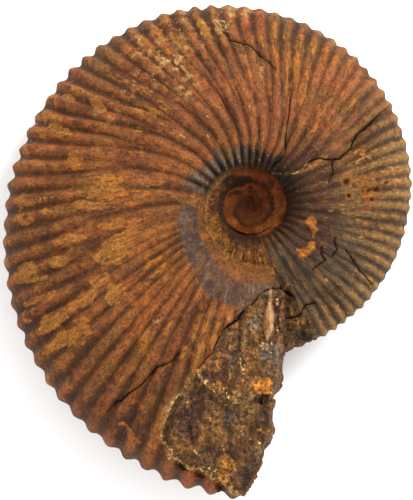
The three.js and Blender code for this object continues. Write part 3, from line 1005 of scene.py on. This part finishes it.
def make_fossil():
    """The whole fossil as one mesh, carved and painted."""
    places, quads = smooth_shell()
    for _ in range(2):  # draws the points closer to the true surface
        away = shell_distance(growth_at(places[:, 0], places[:, 1]), places[:, 2])[0]
        places -= np.clip(away, -VOXEL, VOXEL)[:, None] * outward(places, quads)
    s = Survey(places)
    s.crust = crust_share(s)
    s.flakes = flake_share(s) * (1 - s.band)
    s.scabs = [patch(s, *blob) for blob in SCABS]
    s.bone = bone(s) * s.last_whorl
    s.crumbs = crumb_share(s)
    s.pits, s.pit_rims = pits(s)
    carved = places + relief(s)[:, None] * outward(places, quads)
    by_crack = (np.linalg.norm(s.to_crack, axis=1) < 0.5 * VOXEL) & (s.crack_near > 0)
    carved[:, :2] += s.to_crack * by_crack[:, None]
    rested = turn_to_rest(carved)
    rested[:, 2] = np.maximum(rested[:, 2], 0)
    mesh = bpy.data.meshes.new("ammonite_shell")
    mesh.from_pydata(rested * MM, [], quads)
    mesh.shade_smooth()
    lay_out(mesh, s, quads, carved)
    coat = Coat(s)
    for paint in PAINTERS:
        paint(coat, s)
    add_values(mesh, "tint", coat.base, "FLOAT_COLOR")
    add_values(mesh, "crust_tint", coat.crust_tint, "FLOAT_COLOR")
    for name in ("crust", "dirt_and_shade", "pale"):
        add_values(mesh, name, np.clip(getattr(coat, name), 0, 1))
    add_values(mesh, "flow", s.flow, "FLOAT_VECTOR")
    add_values(mesh, "crack_side", np.where(by_crack, 0, s.crack_side))
    add_values(mesh, "crack_near", s.crack_near)
    add_values(mesh, "smoothness", s.band)
    add_values(mesh, "torn", s.stone * (1 - s.bone))
    return add_object("ammonite_shell", mesh)


# ---- materials ----
def new_material(name):
    """A material and its shader."""
    material = bpy.data.materials.new(name)
    material.use_nodes = True
    return material, material.node_tree.nodes["Principled BSDF"]


class Graph:
    """Short ways to add shader nodes. An input is a socket, a plain number or a colour."""

    def __init__(self, tree):
        self.nodes = tree.nodes
        self.link = tree.links.new

    def node(self, kind, output, inputs, **settings):
        node = self.nodes.new("ShaderNode" + kind)
        for name, setting in settings.items():
            setattr(node, name, setting)
        for name, source in inputs.items():
            if isinstance(source, bpy.types.NodeSocket):
                self.link(source, node.inputs[name])
            else:
                node.inputs[name].default_value = (*source, 1) if isinstance(source, np.ndarray) else source
        return node.outputs[output]

    def value(self, name, output="Fac"):
        """A value that the mesh holds at every point."""
        return self.node("Attribute", output, {}, attribute_name=name)

    def noise(self, vector, scale, detail, stretch=(1, 1, 1)):
        """Noise from 0 to 1. scale is in bumps per unit of the vector."""
        place = self.node("Mapping", "Vector", {"Vector": vector, "Scale": stretch})
        inputs = {"Vector": place, "Scale": scale, "Detail": detail, "Roughness": 0.62}
        return self.node("TexNoise", "Fac", inputs)

    def remap(self, source, low, high, to_low=0.0, to_high=1.0):
        """Stretches low..high to to_low..to_high, and holds it there."""
        inputs = {"Value": source, "From Min": low, "From Max": high, "To Min": to_low, "To Max": to_high}
        return self.node("MapRange", "Result", inputs)

    def blend(self, kind, share, a, b):
        """Mixes two colours."""
        inputs = {"Factor": share, "A": a, "B": b}
        return self.node("Mix", "Result", inputs, data_type="RGBA", blend_type=kind)

    def combine(self, kind, a, b):
        """One operation on two numbers."""
        return self.node("Math", "Value", {0: a, 1: b}, operation=kind)

    def average(self, a, b):
        return self.combine("MULTIPLY", self.combine("ADD", a, b), 0.5)

    def cover(self, name, texture, low, high):
        """Where a layer lies: its named share of the surface, broken up by a texture."""
        spread = self.combine("ADD", self.value(name), self.remap(texture, low, high))
        return self.remap(self.combine("SUBTRACT", spread, 1.0), -0.06, 0.06)


BUMP_DEPTH = 0.42 * MM


def ironstone():
    """Rusty stone: the painted tint, with grain, streaks along the ribs and specks finer than the mesh."""
    material, shader = new_material("ironstone")
    g = Graph(material.node_tree)

    place = g.node("TexCoord", "Object", {})
    blotch = g.noise(place, 1 / (2.0 * MM), 7)
    grain = g.noise(place, 1 / (0.9 * MM), 5)
    grit = g.noise(place, 1 / (0.45 * MM), 2)
    fibre = g.noise(g.value("flow", "Vector"), 1.3, 5, (1, 0.25, 1))
    torn = g.value("torn")

    crust = g.cover("crust", g.average(blotch, fibre), 0.36, 0.64)
    dirt_and_shade = g.cover("dirt_and_shade", g.average(grain, fibre), 0.36, 0.64)
    pale = g.cover("pale", g.average(grain, fibre), 0.3, 0.68)

    colour = g.blend("MULTIPLY", 1.0, g.value("tint", "Color"), g.remap(blotch, 0.3, 0.7, 0.66, 1.34))
    # The dark layer is grime and painted shade; the pale layer is pale dust and wear, with painted
    # highlights.
    for layer, strength, paint in (
        (dirt_and_shade, 0.72, DIRT_AND_SHADE),
        (crust, 0.72, g.value("crust_tint", "Color")),
        (pale, 0.85, CREAM),
    ):
        colour = g.blend("MIX", g.combine("MULTIPLY", layer, strength), colour, paint)
    for share, texture, low, high, darkest, lightest in (
        (1.0, grain, 0.3, 0.7, 0.6, 1.42),
        (1.0, grit, 0.3, 0.7, 0.74, 1.27),
        (1.0, fibre, 0.35, 0.65, 0.64, 1.38),
        (torn, blotch, 0.36, 0.62, 0.62, 1.35),
        (torn, grain, 0.36, 0.62, 0.55, 1.5),
    ):
        colour = g.blend("MULTIPLY", share, colour, g.remap(texture, low, high, darkest, lightest))
    ragged_side = g.combine("ADD", g.value("crack_side"), g.combine("SUBTRACT", grit, 0.5))
    in_crack = g.remap(g.combine("ABSOLUTE", ragged_side, 0), 1.0, 0.55)
    crack = g.combine("MULTIPLY", in_crack, g.value("crack_near"))
    colour = g.blend("MIX", crack, colour, NEAR_BLACK)
    g.link(colour, shader.inputs["Base Color"])

    polish = g.combine("MULTIPLY", g.value("smoothness"), 0.25)
    roughness = g.combine("SUBTRACT", g.remap(grain, 0.3, 0.7, 0.68, 0.88), polish)
    roughness = g.combine("ADD", roughness, g.combine("MULTIPLY", dirt_and_shade, -0.08))
    g.link(roughness, shader.inputs["Roughness"])
    shader.inputs["Specular IOR Level"].default_value = 0.15

    height = g.combine("MULTIPLY", grain, 0.9)
    for layer, weight in ((grit, 0.35), (fibre, 0.6), (crust, 0.35), (dirt_and_shade, -0.3), (crack, -1.5)):
        height = g.combine("ADD", height, g.combine("MULTIPLY", layer, weight))
    bump = g.node("Bump", "Normal", {"Strength": 1.0, "Distance": BUMP_DEPTH, "Height": height})
    g.link(bump, shader.inputs["Normal"])
    return material


# ---- the studio, in metres ----
FLOOR_HALF = 3.0
FLOOR_WHITE = (0.97, 0.97, 0.97, 1)
SKY_STRENGTH = 1.42
KEY_AT = (0.40, 0.45, 0.65)
KEY_SIZE = 0.4
KEY_WATTS = 8.5
CAMERA_AT = (-0.0001, 0.00025, 2.02)
SEEN_HEIGHT = 0.125  # what the picture spans at the framed distance
FRAMED_DISTANCE = 2.0
SENSOR_HEIGHT = 24  # mm


def make_floor():
    corners = [(x * FLOOR_HALF, y * FLOOR_HALF, 0) for x, y in ((-1, -1), (1, -1), (1, 1), (-1, 1))]
    mesh = bpy.data.meshes.new("floor")
    mesh.from_pydata(corners, [], [(0, 1, 2, 3)])
    material, shader = new_material("floor")
    shader.inputs["Base Color"].default_value = FLOOR_WHITE
    shader.inputs["Roughness"].default_value = 0.9
    mesh.materials.append(material)
    add_object("floor", mesh)


def make_light():
    """An even white sky, and one soft lamp aimed at the fossil."""
    world = bpy.data.worlds.new("studio")
    world.use_nodes = True
    background = world.node_tree.nodes["Background"]
    background.inputs["Color"].default_value = (1, 1, 1, 1)
    background.inputs["Strength"].default_value = SKY_STRENGTH
    bpy.context.scene.world = world
    lamp = bpy.data.lights.new("key", "AREA")
    lamp.shape = "DISK"
    lamp.size = KEY_SIZE
    lamp.energy = KEY_WATTS
    key = add_object("key", lamp)
    key.location = KEY_AT
    key.rotation_euler = (-Vector(KEY_AT)).to_track_quat("-Z", "Y").to_euler()
    bpy.context.scene.view_settings.view_transform = "Standard"


def add_camera():
    """Straight down, with a long lens."""
    data = bpy.data.cameras.new("camera")
    data.sensor_fit = "VERTICAL"
    data.sensor_height = SENSOR_HEIGHT
    data.lens = SENSOR_HEIGHT * FRAMED_DISTANCE / SEEN_HEIGHT
    camera = add_object("camera", data)
    camera.location = CAMERA_AT
    bpy.context.scene.camera = camera


fossil = make_fossil()
fossil.data.materials.append(ironstone())
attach(fossil, "root")
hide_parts("ammonite_fossil")
make_floor()
make_light()
add_camera()
